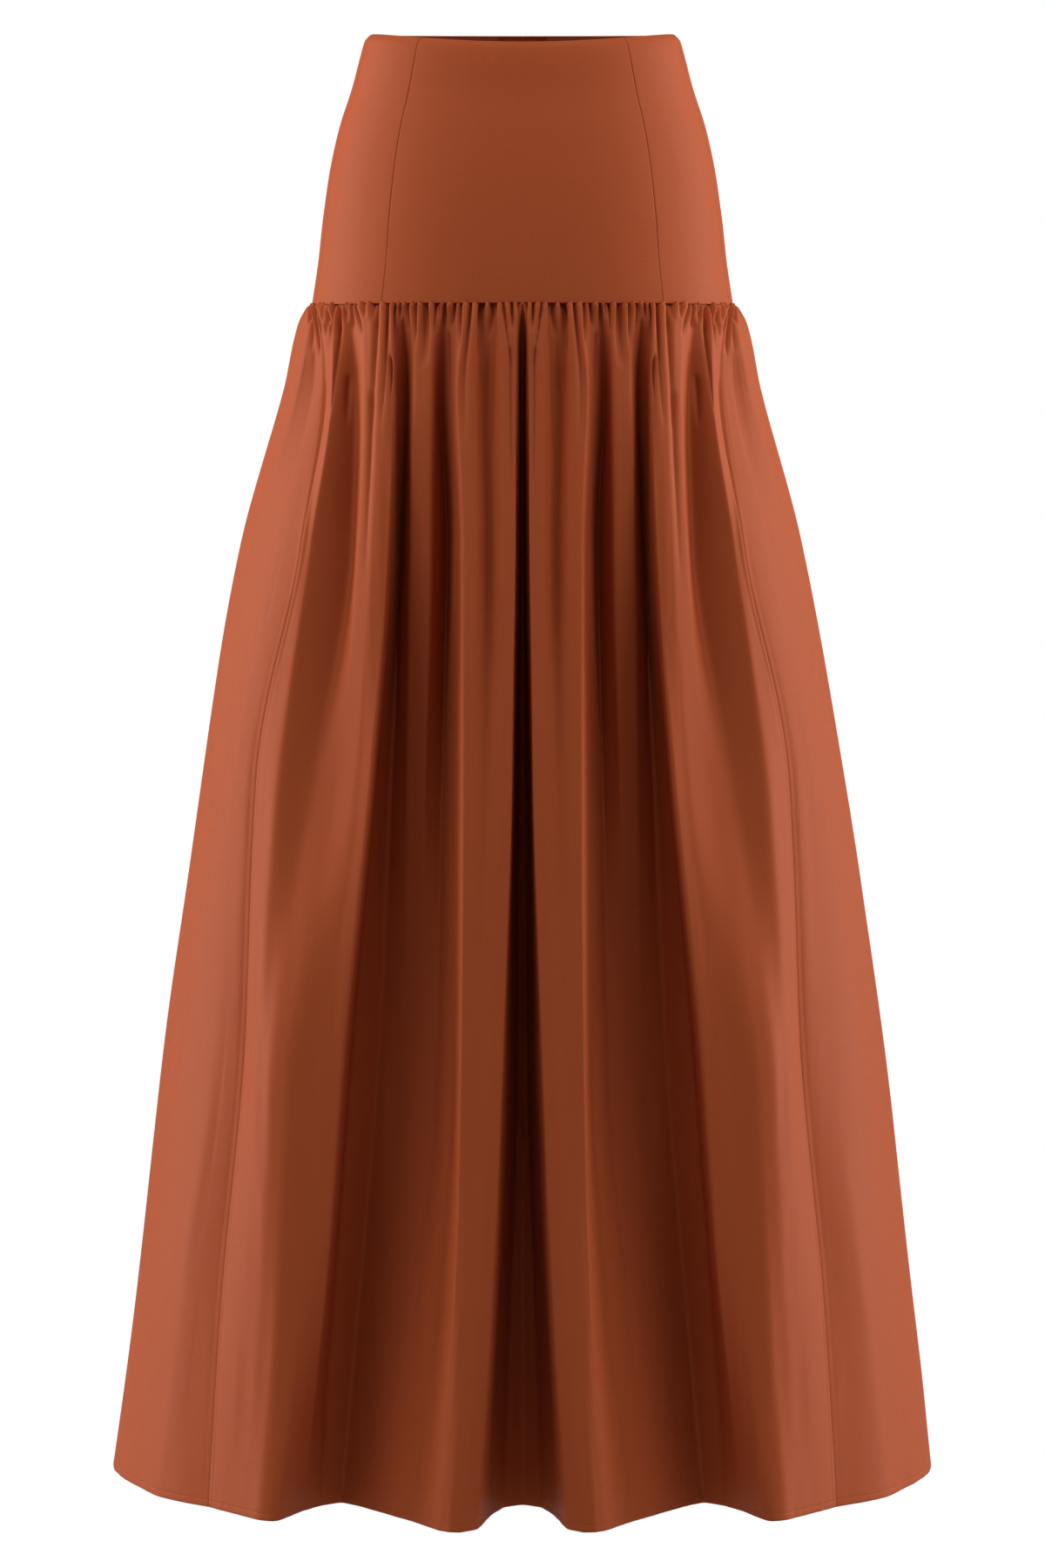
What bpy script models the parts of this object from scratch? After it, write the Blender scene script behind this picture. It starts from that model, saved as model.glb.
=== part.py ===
"""Maxi skirt: a fitted yoke with princess seams over a gathered skirt, filled out as if worn.

The front faces -Y, +X is the wearer's left, and the origin is the centre of the waist.
Every cloth panel is a wall worked out from the outline and fold tables below.
"""

import math

import bpy
import numpy as np

MM = 0.001

# Cloth, in millimetres
WALL = 1.2
HEM_WALL = 2.2
HEM_DEPTH = 5.5
SEAM_GAP = 0.3
SKIRT_GAP = 0.6

# Yoke, in millimetres and degrees round from the centre front
YOKE_DEPTH = 190.0
FRONT_DIP = 8.0
BACK_RISE = 4.0
FRONT_PRINCESS = 41.0
SIDE_SEAM = 78.0
BACK_PRINCESS = 139.0
YOKE_STEP = 8.5

# Skirt, in millimetres
HEM_HEIGHT = 1010.0
GATHER_RAMP = 10.0
FOLD_BLUR = 5.0
FRONTAL_COSINE = 0.7
TURNED_COSINE = 0.3
CLOTH_STEP = 1.5
COLUMN_STEP = 27.0
SKIRT_ROWS = (190.3, 198, 212, 238, 280, 345, 440, 560, 700, 850, 1004.5, HEM_HEIGHT)
YOKE_ROWS = (0, 2.5, 10.5, 16.5, 40, 75, 112, 150, 176, YOKE_DEPTH)

# Plain outline, a row for each height:
# mm below the waist, half width, front depth, back depth
YOKE_OUTLINE = (
    (0, 107.0, 81.0, 80.0),
    (4, 110.8, 84.5, 83.5),
    (12, 113.3, 87.0, 86.5),
    (36, 119.6, 92.0, 93.0),
    (67, 129.5, 100.0, 103.0),
    (98, 136.3, 107.0, 112.0),
    (129, 140.6, 112.0, 118.0),
    (160, 144.0, 115.5, 121.5),
    (190, 148.5, 118.0, 122.0),
)
SKIRT_OUTLINE = (
    (190, 148.5, 118.0, 122.0),
    (202, 157.0, 125.0, 129.0),
    (250, 168.0, 137.0, 141.0),
    (355, 195.5, 160.0, 163.0),
    (520, 225.5, 190.0, 190.0),
    (710, 254.0, 220.0, 216.0),
    (860, 272.0, 245.0, 238.0),
    (HEM_HEIGHT, 291.0, 272.0, 262.0),
)

# Fold lines that run down the cloth, a row for each, from the centre to the side:
# name, mm from the centre at each of FOLD_HEIGHTS, mm behind the outline at each of them
FOLD_HEIGHTS = (190, 250, 355, 520, 710, 860, HEM_HEIGHT)
FRONT_FOLDS = (
    ("centre_floor", (0, 0, 0, 0, 0, 0, 0), (12, 32, 54, 70, 84, 92, 104)),
    ("centre_floor_edge", (1, 1.5, 2, 2.5, 4, 8, 12), (11, 28, 50, 66, 78, 84, 94)),
    ("centre_wall", (2, 2.6, 3.2, 4.2, 9.5, 15, 21), (6, 14, 27, 36, 46, 52, 60)),
    ("inner_ridge_edge", (4, 3.8, 4.2, 6.5, 13, 19.5, 30), (1, 1, 1, 2, 3, 5, 12)),
    ("inner_ridge_top", (12, 14.5, 14, 16, 22, 29, 41), (0, 0, 0, 0, 0, 0, 0)),
    ("inner_dip", (24, 25, 22.5, 25, 31, 37, 49), (5, 14, 13, 5, 1, 0, 1)),
    ("inner_ridge_middle", (32, 34, 32, 34, 37, 42, 55), (0, 0, 0, 0, 0, 0, 5)),
    ("inner_ridge_shoulder", (38, 45, 42, 41, 42.5, 46, 60), (0, 0, 0, 0, 0, 1, 12)),
    ("inner_ridge_foot", (46, 49.5, 46, 46.5, 48, 57, 75), (6, 12, 28, 44, 44, 38, 35)),
    ("inner_floor", (54, 56, 52, 55, 59, 71, 89), (10, 24, 50, 70, 68, 60, 52)),
    ("middle_ridge_in", (60, 62, 62.5, 67, 72, 84, 99), (3, 5, 22, 56, 72, 70, 64)),
    ("middle_ridge_out", (74, 74.5, 77, 80, 82, 96, 110), (3, 4, 24, 57, 74, 76, 77)),
    ("outer_floor", (82, 79, 83, 91, 99, 111, 124), (10, 26, 52, 70, 78, 83, 87)),
    ("outer_wall", (87, 85, 88.5, 100, 117.5, 128, 137), (6, 14, 29, 46, 55, 58, 68)),
    ("outer_ridge_edge", (90, 88.5, 91.5, 103.5, 122.5, 133, 148), (1, 1, 2, 8, 11, 15, 42)),
    ("outer_ridge_top", (100, 100, 103, 115, 140, 149, 166), (0, 0, 1, 9, 5, 4, -6)),
    ("outer_ridge_back", (110, 110, 113.5, 127, 157, 165, 178), (1, 2, 4, 14, -5, -6, -9)),
    ("side_dip", (119, 115, 117, 144, 171, 177, 189), (6, 17, 26, 16, -8, -6, -3)),
    ("side_ridge", (131, 132, 145, 168, 182, 189, 201), (2, -2, -3, -1, -3, -2, 3)),
    ("side_seam", (144, 140.5, 151.5, 185, 192.5, 206, 213.5), (1, 9, -4, 4, 9, 8, 9)),
    ("side_crease", (146, 150, 170, 201, 215, 232, 251), (1, 9, 1, 1, 4, 2, 3)),
    ("side_flat", (147.5, 158.5, 184, 211, 238, 254, 270), (1, 1, 0, 1, 1, 2, 4)),
)
BACK_FOLDS = (
    ("centre_ridge", (0, 0, 0, 0, 0, 0, 0), (1, 1, 0, 0, 0, 0, 0)),
    ("centre_shoulder", (13, 15, 19, 24, 29, 34, 40), (0, 1, 1, 1, 2, 2, 3)),
    ("inner_floor", (20, 22, 27, 35, 43, 50, 58), (8, 17, 31, 44, 53, 57, 60)),
    ("inner_ridge_in", (25, 28, 33, 43, 56, 70, 86), (2, 4, 8, 12, 15, 17, 20)),
    ("inner_ridge_out", (48, 52, 60, 72, 88, 104, 122), (1, 1, 1, 1, 1, 1, 1)),
    ("middle_floor", (56, 60, 68, 80, 97, 114, 132), (8, 15, 26, 37, 46, 52, 57)),
    ("middle_ridge_in", (61, 66, 75, 89, 108, 127, 147), (2, 3, 6, 9, 12, 15, 18)),
    ("middle_ridge_out", (70, 76, 86, 102, 122, 140, 158), (1, 1, 2, 2, 1, 1, 1)),
    ("outer_floor", (80, 87, 100, 118, 140, 158, 176), (7, 10, 15, 18, 19, 18, 16)),
    ("outer_ridge_in", (90, 98, 114, 134, 157, 175, 193), (2, 2, 3, 3, 3, 2, 2)),
    ("outer_ridge_out", (111, 121, 141, 165, 190, 210, 229), (1, 1, 1, 1, 1, 1, 2)),
    ("side_dip", (123, 134, 154, 181, 207, 227, 246), (6, 11, 17, 22, 27, 31, 34)),
    ("side_ridge", (134, 147, 170, 198, 225, 245, 264), (1, 1, 2, 2, 2, 3, 4)),
    ("side_hollow", (144.5, 162, 189, 219, 247, 265, 283), (3, 6, 8, 9, 10, 11, 12)),
)

# Back waist facing and concealed zip, in millimetres
FACING_ROWS = YOKE_ROWS[:5]
FACING_WALL = 1.0
FACING_TO_ZIP = 13.0
TAPE_ROWS = YOKE_ROWS[1:-1]
TAPE_WALL = 1.0
TAPE_HALF_WIDTH = 12.0
NOTCH_HALF_WIDTH = 3.3
NOTCH_CELLS = ((0, 1), (1, 1))
SLIT_HALF_GAP = 1.2
SLIT_END = 15.0
PIN_DROP = 8.0
PIN_OUT = 2.2
PIN_RADIUS = 0.6
PIN_HALF_LENGTH = 2.4
EYE_RADIUS = 0.95
EAR_RADIUS = 1.5
EAR_IN = 1.1
EAR_OUT = 2.1
ARM_TRIM = 0.1
TAB_WALL = 1.2
TAB_START = 3.0
TAB_LENGTH = 25.0
TAB_HALF_WIDTH = 2.4
TAB_CLEAR = 0.5
NECK_HALF_WIDTH = 0.75
SLIDER_CLEAR = 0.8
ROUND_STEPS = 16

CLOTH_COLOUR = (0.42, 0.115, 0.050, 1.0)
FACING_COLOUR = (0.36, 0.095, 0.042, 1.0)
TAPE_COLOUR = (0.33, 0.085, 0.040, 1.0)
METAL_COLOUR = (0.40, 0.12, 0.06, 1.0)


# ---------------------------------------------------------------- curves

def glide(heights, values, at):
    """Values between the table's heights on a smooth curve that never overshoots them."""
    xs = np.asarray(heights, float)
    ys = np.asarray(values, float)
    steps = np.diff(xs)
    rises = np.diff(ys) / steps
    slopes = np.zeros_like(ys)
    slopes[0] = rises[0]
    slopes[-1] = rises[-1]
    for i in range(1, len(xs) - 1):
        before, after = rises[i - 1], rises[i]
        if before * after > 0:
            near = 2 * steps[i] + steps[i - 1]
            far = steps[i] + 2 * steps[i - 1]
            slopes[i] = (near + far) / (near / before + far / after)
    at = np.clip(np.asarray(at, float), xs[0], xs[-1])
    i = np.clip(np.searchsorted(xs, at, side="right") - 1, 0, len(xs) - 2)
    t = (at - xs[i]) / steps[i]
    stay = (1 + 2 * t) * (1 - t) ** 2
    go = t * t * (3 - 2 * t)
    lift = t * (1 - t) ** 2
    drag = t * t * (t - 1)
    return stay * ys[i] + go * ys[i + 1] + steps[i] * (lift * slopes[i] + drag * slopes[i + 1])


def outline_at(table, height):
    """Half width, front depth and back depth at a height."""
    columns = list(zip(*table))
    return [glide(columns[0], column, height) for column in columns[1:]]


def on_outline(sizes, angle):
    """X and Y of the plain outline at an angle round from the centre front, in radians."""
    half_width, front, back = sizes
    depth = np.where(np.cos(angle) > 0, front, back)
    return half_width * np.sin(angle), -depth * np.cos(angle)


def inward(x, y):
    """Unit vectors that point into the skirt from points that run round it from front to left."""
    run_x = np.gradient(x)
    run_y = np.gradient(y)
    length = np.hypot(run_x, run_y)
    return -run_y / length, run_x / length


# ---------------------------------------------------------------- yoke

def waist_drop(angle):
    """How far the waist edge lies below the origin at an angle."""
    level = np.where(np.cos(angle) > 0, FRONT_DIP, -BACK_RISE)
    return level * np.cos(angle) ** 2


def yoke_row(angle, along, inset=0.0):
    """Points on the yoke: along is measured from the waist edge down, to YOKE_DEPTH."""
    sizes = outline_at(YOKE_OUTLINE, along)
    x, y = on_outline(sizes, angle)
    turn = 0.001
    ahead_x, ahead_y = on_outline(sizes, angle + turn)
    behind_x, behind_y = on_outline(sizes, angle - turn)
    run_x, run_y = ahead_x - behind_x, ahead_y - behind_y
    length = np.hypot(run_x, run_y)
    top = waist_drop(angle)
    z = -(top + (YOKE_DEPTH - top) * along / YOKE_DEPTH)
    return np.stack([x - run_y / length * inset, y + run_x / length * inset, z], axis=-1)


def angle_step(angle, along, distance):
    """The turn, in radians, that moves a point of the yoke by a distance round it."""
    sizes = outline_at(YOKE_OUTLINE, along)
    turn = 0.001
    x0, y0 = on_outline(sizes, angle)
    x1, y1 = on_outline(sizes, angle + turn)
    return distance * turn / math.hypot(x1 - x0, y1 - y0)


def panel_row(start, end, along, inset):
    """A row of a yoke panel between two angles in degrees. It opens at the zip slider."""
    count = max(2, round((end - start) / YOKE_STEP)) + 1
    edges = []
    for angle, way in ((start, 1), (end, -1)):
        at_slider = angle == 180 and along < SLIT_END
        turn = math.radians(angle)
        edges.append(turn + way * angle_step(turn, along, SLIT_HALF_GAP if at_slider else SEAM_GAP / 2))
    return yoke_row(np.linspace(*edges, count), along, inset)


def yoke_panel(name, start, end, material):
    faces = [np.array([panel_row(start, end, along, inset) for along in YOKE_ROWS]) for inset in (0, WALL)]
    return wall_object(name, *faces, material)


# ---------------------------------------------------------------- gathered skirt

def half_fold_lines(height):
    """Angle and depth behind the outline of each fold line, from centre front to centre back."""
    half_width = outline_at(SKIRT_OUTLINE, height)[0]
    ramp = 1 - math.exp(-max(height - YOKE_DEPTH, 0) / GATHER_RAMP)
    angles = []
    insets = []
    for table, back in ((FRONT_FOLDS, False), (BACK_FOLDS[::-1], True)):
        for name, across, behind in table:
            angle = math.asin(min(1.0, glide(FOLD_HEIGHTS, across, height) / half_width))
            angles.append(math.pi - angle if back else angle)
            insets.append(ramp * glide(FOLD_HEIGHTS, behind, height))
        if not back:
            angles.append(math.pi / 2)
            insets.append(0.0)
    return np.array(angles), np.array(insets)


def folded(sizes, angles, insets):
    """Outline points moved in by their insets: straight back on the front, square to the cloth elsewhere."""
    half_width, front, back = sizes
    x, y = on_outline(sizes, angles)
    out_x = np.where(np.cos(angles) > 0, front, back) * np.sin(angles)
    out_y = -half_width * np.cos(angles)
    length = np.hypot(out_x, out_y)
    straight = np.clip((np.cos(angles) - TURNED_COSINE) / (FRONTAL_COSINE - TURNED_COSINE), 0, 1)
    out_x = out_x / length * (1 - straight)
    out_y = out_y / length * (1 - straight) - straight
    return x - out_x * insets, y - out_y * insets


def cloth_measure():
    """Place of each fold line along the cloth: the longest run between neighbours at any height."""
    runs = 0.0
    for height in FOLD_HEIGHTS:
        x, y = folded(outline_at(SKIRT_OUTLINE, height), *half_fold_lines(height))
        runs = np.maximum(runs, np.hypot(np.diff(x), np.diff(y)))
    return np.concatenate([[0.0], np.cumsum(runs)])


MEASURE = cloth_measure()
HALF_SAMPLES = round(MEASURE[-1] / CLOTH_STEP)


def blurred(values, reach):
    """A closed run of values smoothed by a bell curve of that reach, in samples."""
    span = int(4 * reach)
    bell = np.exp(-0.5 * (np.arange(-span, span + 1) / reach) ** 2)
    padded = np.concatenate([values[-span:], values, values[:span]])
    return np.convolve(padded, bell / bell.sum(), mode="valid")


def skirt_ring(height, places):
    """Points of the cloth's outer face at a height, at places along it from the centre front."""
    half_angle, half_inset = half_fold_lines(height)
    samples = np.linspace(0, MEASURE[-1], HALF_SAMPLES + 1)
    lean = np.interp(samples, MEASURE, half_angle) - samples / MEASURE[-1] * math.pi
    inset = np.interp(samples, MEASURE, half_inset)
    lean = np.concatenate([lean[:-1], -lean[:0:-1]])
    inset = np.concatenate([inset[:-1], inset[:0:-1]])
    reach = FOLD_BLUR / CLOTH_STEP
    whole = 2 * MEASURE[-1]
    around = np.linspace(0, whole, 2 * HALF_SAMPLES + 1)[:-1]
    angle = np.interp(places, around, blurred(lean, reach), period=whole) + places / MEASURE[-1] * math.pi
    depth = np.interp(places, around, blurred(inset, reach), period=whole)
    return folded(outline_at(SKIRT_OUTLINE, height), angle, depth)


def column_places():
    """A column on every fold line, and more where the cloth between two of them is wide."""
    half = [0.0]
    for start, end in zip(MEASURE[:-1], MEASURE[1:]):
        count = math.ceil((end - start) / COLUMN_STEP)
        half.extend(np.linspace(start, end, count + 1)[1:])
    half = np.array(half)
    return np.concatenate([half, 2 * MEASURE[-1] - half[-2:0:-1]])


def skirt_walls(places):
    """Outer and inner faces of the gathered skirt, as arrays of rows round the ring."""
    outer = []
    inner = []
    for height in SKIRT_ROWS:
        x, y = skirt_ring(height, places)
        in_x, in_y = inward(np.tile(x, 3), np.tile(y, 3))
        middle = slice(len(x), 2 * len(x))
        wall = HEM_WALL if height >= HEM_HEIGHT - HEM_DEPTH else WALL
        z = np.full_like(x, -height)
        outer.append(np.stack([x, y, z], axis=-1))
        inner.append(np.stack([x + in_x[middle] * wall, y + in_y[middle] * wall, z], axis=-1))
    return np.array(outer), np.array(inner)


def skirt_panel(name, outer, inner, first, last, material):
    """The ring's columns from first to last, drawn back from the seams by half the gap."""
    columns = outer.shape[1]
    picked = np.arange(first, last + 1) % columns
    faces = []
    for ring in (outer, inner):
        grid = ring[:, picked].copy()
        for edge, seam, way in ((0, first, 1), (-1, last, -1)):
            run = ring[:, (seam + 1) % columns] - ring[:, (seam - 1) % columns]
            run /= np.linalg.norm(run, axis=-1, keepdims=True)
            down = np.gradient(ring[:, seam % columns], axis=0)
            down /= np.linalg.norm(down, axis=-1, keepdims=True)
            square = np.linalg.norm(np.cross(run, down), axis=-1, keepdims=True)
            grid[:, edge] += way * run * SKIRT_GAP / 2 / np.maximum(square, 0.5)
        faces.append(grid)
    return wall_object(name, faces[0], faces[1], material)


# ---------------------------------------------------------------- meshes

def cloth_material(name, colour, roughness, metallic=0.0):
    material = bpy.data.materials.new(name)
    material.use_nodes = True
    shader = material.node_tree.nodes["Principled BSDF"]
    shader.inputs["Base Color"].default_value = colour
    shader.inputs["Roughness"].default_value = roughness
    shader.inputs["Metallic"].default_value = metallic
    return material


def mesh_object(name, vertices, faces, material):
    mesh = bpy.data.meshes.new(name)
    mesh.from_pydata([tuple(v) for v in vertices], [], faces)
    mesh.validate()
    mesh.materials.append(material)
    thing = bpy.data.objects.new(name, mesh)
    bpy.context.collection.objects.link(thing)
    return thing


def wall_object(name, outer, inner, material, skip=()):
    """A closed wall between two grids of points in millimetres, without the cells in skip."""
    rows, columns = outer.shape[:2]
    vertices = np.concatenate([outer.reshape(-1, 3), inner.reshape(-1, 3)]) * MM
    cells = {(r, c) for r in range(rows - 1) for c in range(columns - 1)} - set(skip)
    back = rows * columns
    faces = []
    for r, c in sorted(cells):
        a = r * columns + c
        b, d, e = a + 1, a + columns, a + columns + 1
        faces.append((a, d, e, b))
        faces.append((back + a, back + b, back + e, back + d))
        for p, q, beside in ((a, b, (r - 1, c)), (e, d, (r + 1, c)), (d, a, (r, c - 1)), (b, e, (r, c + 1))):
            if beside not in cells:
                faces.append((p, q, back + q, back + p))
    used = sorted({i for face in faces for i in face})
    renumbered = {old: new for new, old in enumerate(used)}
    faces = [tuple(renumbered[i] for i in face) for face in faces]
    return mesh_object(name, vertices[used], faces, material)


def block(name, low, high, frame, material=None):
    """A box between two corners, in millimetres of a local frame."""
    corners = [(x, y, z) for x in (low[0], high[0]) for y in (low[1], high[1]) for z in (low[2], high[2])]
    faces = [(0, 1, 3, 2), (4, 6, 7, 5), (0, 4, 5, 1), (2, 3, 7, 6), (0, 2, 6, 4), (1, 5, 7, 3)]
    return mesh_object(name, [frame(*corner) for corner in corners], faces, material)


def rod(name, radius, start, end, centre, frame, material=None):
    """A round bar along X between start and end, in millimetres of a local frame."""
    vertices = []
    for x in (start, end):
        for i in range(ROUND_STEPS):
            turn = 2 * math.pi * i / ROUND_STEPS
            out, up = radius * math.cos(turn), radius * math.sin(turn)
            vertices.append(frame(x, centre[0] + out, centre[1] + up))
    faces = [tuple(reversed(range(ROUND_STEPS))), tuple(range(ROUND_STEPS, 2 * ROUND_STEPS))]
    for i in range(ROUND_STEPS):
        j = (i + 1) % ROUND_STEPS
        faces.append((i, j, ROUND_STEPS + j, ROUND_STEPS + i))
    return mesh_object(name, vertices, faces, material)


def combine(thing, helper, operation):
    """Adds a helper to a piece, or cuts it out of it."""
    helper.hide_render = True
    helper.display_type = "WIRE"
    change = thing.modifiers.new(helper.name, "BOOLEAN")
    change.operation = operation
    change.object = helper


# ---------------------------------------------------------------- facing and zip

def back_row(along, inset, across=()):
    """The left back panels' row moved in by the inset, or its points at given distances across."""
    row = np.concatenate([
        panel_row(SIDE_SEAM, BACK_PRINCESS, along, inset),
        panel_row(BACK_PRINCESS, 180, along, inset),
    ])
    middle = row[row[:, 1] > 0][::-1]
    cut = [[x] + [np.interp(x, middle[:, 0], middle[:, axis]) for axis in (1, 2)] for x in across]
    return row, np.array(cut)


def facing_half(name, side, material):
    """Half of the back waist facing, against the inside of the yoke and clear of the zip."""
    grids = []
    for inset in (WALL + SEAM_GAP, WALL + SEAM_GAP + FACING_WALL):
        rows = []
        for along in FACING_ROWS:
            row, end = back_row(along, inset, (FACING_TO_ZIP,))
            rows.append(np.concatenate([row[row[:, 0] > FACING_TO_ZIP + 2], end]))
        grid = np.array(rows)
        grids.append(grid if side > 0 else (grid * (-1, 1, 1))[:, ::-1])
    return wall_object(name, *grids, material)


def zip_tape(material):
    """The closed zip's tape, with a notch at the top for the slider."""
    grids = []
    for inset in (WALL + SEAM_GAP, WALL + SEAM_GAP + TAPE_WALL):
        halves = [back_row(along, inset, (TAPE_HALF_WIDTH, NOTCH_HALF_WIDTH))[1] for along in TAPE_ROWS]
        half = np.array(halves)
        grids.append(np.concatenate([half, (half * (-1, 1, 1))[:, ::-1]], axis=1))
    return wall_object("zip_tape", *grids, material, skip=NOTCH_CELLS)


def slope_frame(origin, down):
    """Points in a frame that leans with the cloth: x across, y out of the cloth, z up along it."""
    up = -down
    out = np.array([0.0, up[2], -up[1]])

    def place(x, y, z):
        return tuple((origin + np.array([x, 0.0, 0.0]) + out * y + up * z) * MM)

    return place


def toward(start, end):
    way = end - start
    return way / np.linalg.norm(way)


def zip_hardware(material):
    """Slider and pull tab at the top of the centre-back zip; the tab's origin is on its pin."""
    back = np.array([math.pi])
    seat = yoke_row(back, PIN_DROP)[0]
    below = yoke_row(back, PIN_DROP + TAB_LENGTH)[0]
    cloth_down = toward(seat, yoke_row(back, SLIT_END)[0])
    cloth = slope_frame(seat, cloth_down)

    inside = -WALL - SEAM_GAP - SLIDER_CLEAR
    slider = block("zip_slider", (-2.8, inside - 2.5, -6), (2.8, inside, 3.5), cloth, material)
    neck_low, neck_high = (-NECK_HALF_WIDTH, inside - 1, -1.6), (NECK_HALF_WIDTH, PIN_OUT + 1, 1.6)
    neck = block("slider_neck", neck_low, neck_high, cloth)
    pin = rod("slider_pin", PIN_RADIUS, -PIN_HALF_LENGTH, PIN_HALF_LENGTH, (PIN_OUT, 0), cloth)
    combine(slider, neck, "UNION")
    combine(slider, pin, "UNION")

    pin_centre = np.array(cloth(0, PIN_OUT, 0)) / MM
    cloth_out = np.array([0.0, -cloth_down[2], cloth_down[1]])
    tip = below + cloth_out * (TAB_CLEAR + TAB_WALL / 2)
    hang = slope_frame(np.zeros(3), toward(pin_centre, tip))
    half = TAB_WALL / 2
    tab_low, tab_high = (-TAB_HALF_WIDTH, -half, -TAB_LENGTH), (TAB_HALF_WIDTH, half, -TAB_START)
    tab = block("zip_pull_tab", tab_low, tab_high, hang, material)
    for side in (-1, 1):
        start, end = sorted((side * EAR_IN, side * EAR_OUT))
        ear = rod(f"tab_ear_{side}", EAR_RADIUS, start, end, (0, 0), hang)
        low = (start + ARM_TRIM, ARM_TRIM - half, -TAB_START - 1)
        arm = block(f"tab_arm_{side}", low, (end - ARM_TRIM, half - ARM_TRIM, -EYE_RADIUS - ARM_TRIM), hang)
        combine(tab, ear, "UNION")
        combine(tab, arm, "UNION")
    eye = rod("tab_eye", EYE_RADIUS, -EAR_OUT - 1, EAR_OUT + 1, (0, 0), hang)
    combine(tab, eye, "DIFFERENCE")
    place = tuple(pin_centre * MM)
    tab.location = place
    for helper in [change.object for change in tab.modifiers]:
        helper.location = place


# ---------------------------------------------------------------- the skirt

def build():
    for thing in list(bpy.data.objects):
        bpy.data.objects.remove(thing)

    yoke = cloth_material("yoke_cloth", CLOTH_COLOUR, 0.62)
    skirt = cloth_material("skirt_cloth", CLOTH_COLOUR, 0.62)
    facing = cloth_material("facing_cloth", FACING_COLOUR, 0.7)
    tape = cloth_material("zip_tape_cloth", TAPE_COLOUR, 0.75)
    metal = cloth_material("painted_metal", METAL_COLOUR, 0.35, 0.6)

    yoke_panel("yoke_centre_front", -FRONT_PRINCESS, FRONT_PRINCESS, yoke)
    yoke_panel("yoke_side_front_left", FRONT_PRINCESS, SIDE_SEAM, yoke)
    yoke_panel("yoke_side_back_left", SIDE_SEAM, BACK_PRINCESS, yoke)
    yoke_panel("yoke_centre_back_left", BACK_PRINCESS, 180, yoke)
    yoke_panel("yoke_centre_back_right", 180, 360 - BACK_PRINCESS, yoke)
    yoke_panel("yoke_side_back_right", 360 - BACK_PRINCESS, 360 - SIDE_SEAM, yoke)
    yoke_panel("yoke_side_front_right", 360 - SIDE_SEAM, 360 - FRONT_PRINCESS, yoke)

    places = column_places()
    outer, inner = skirt_walls(places)
    side_seam = MEASURE[[row[0] for row in FRONT_FOLDS].index("side_seam")]
    ring = len(places)
    seam = int(np.argmin(abs(places - side_seam)))
    centre_back = int(np.argmin(abs(places - MEASURE[-1])))
    skirt_panel("skirt_front", outer, inner, -seam, seam, skirt)
    skirt_panel("skirt_back_left", outer, inner, seam, centre_back, skirt)
    skirt_panel("skirt_back_right", outer, inner, centre_back, ring - seam, skirt)

    facing_half("waist_facing_left", 1, facing)
    facing_half("waist_facing_right", -1, facing)
    zip_tape(tape)
    zip_hardware(metal)


build()
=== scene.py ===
"""Looks of the maxi skirt: fine cloth, seams, stitching, zip, studio and camera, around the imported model.

Lengths are millimetres until a mesh is made. The front faces -Y and +X is the wearer's left.
"""

import math

import bpy
import numpy as np
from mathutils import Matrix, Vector


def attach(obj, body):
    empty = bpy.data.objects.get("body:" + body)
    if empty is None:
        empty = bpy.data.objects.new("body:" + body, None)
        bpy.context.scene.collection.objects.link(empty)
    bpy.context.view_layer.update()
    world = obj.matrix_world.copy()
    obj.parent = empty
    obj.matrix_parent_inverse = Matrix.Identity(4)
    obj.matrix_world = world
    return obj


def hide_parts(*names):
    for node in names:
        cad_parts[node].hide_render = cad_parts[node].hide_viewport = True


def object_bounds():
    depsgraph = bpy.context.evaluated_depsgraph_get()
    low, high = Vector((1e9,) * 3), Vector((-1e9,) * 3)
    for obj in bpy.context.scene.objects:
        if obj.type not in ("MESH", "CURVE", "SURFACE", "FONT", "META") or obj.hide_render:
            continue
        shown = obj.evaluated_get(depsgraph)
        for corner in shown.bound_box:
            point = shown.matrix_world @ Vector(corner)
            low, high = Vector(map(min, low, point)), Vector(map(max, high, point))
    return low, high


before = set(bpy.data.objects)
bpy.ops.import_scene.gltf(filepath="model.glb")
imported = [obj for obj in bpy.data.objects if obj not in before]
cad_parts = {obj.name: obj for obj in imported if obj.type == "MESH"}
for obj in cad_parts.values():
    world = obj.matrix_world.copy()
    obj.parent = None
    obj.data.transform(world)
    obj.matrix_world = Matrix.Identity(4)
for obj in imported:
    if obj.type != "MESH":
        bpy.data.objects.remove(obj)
CAD_LOW, CAD_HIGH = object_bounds()

MM = 0.001
RANDOM = np.random.default_rng(23)

# ---------------------------------------------------------------- sizes shared with the CAD source

WALL = 1.2
HEM_DEPTH = 5.5
SEAM_GAP = 0.3
YOKE_DEPTH = 190.0
FRONT_DIP = 9.2
BACK_RISE = 4.0
FRONT_PRINCESS = 41.0
SIDE_SEAM = 78.0
BACK_PRINCESS = 139.0
HEM_HEIGHT = 1010.0
GATHER_RAMP = 10.0
FOLD_BLUR = 1.7
BACK_BLUR = 4.5
CLOTH_STEP = 1.0
FRONTAL_COSINE = 0.7
TURNED_COSINE = 0.3

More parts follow.
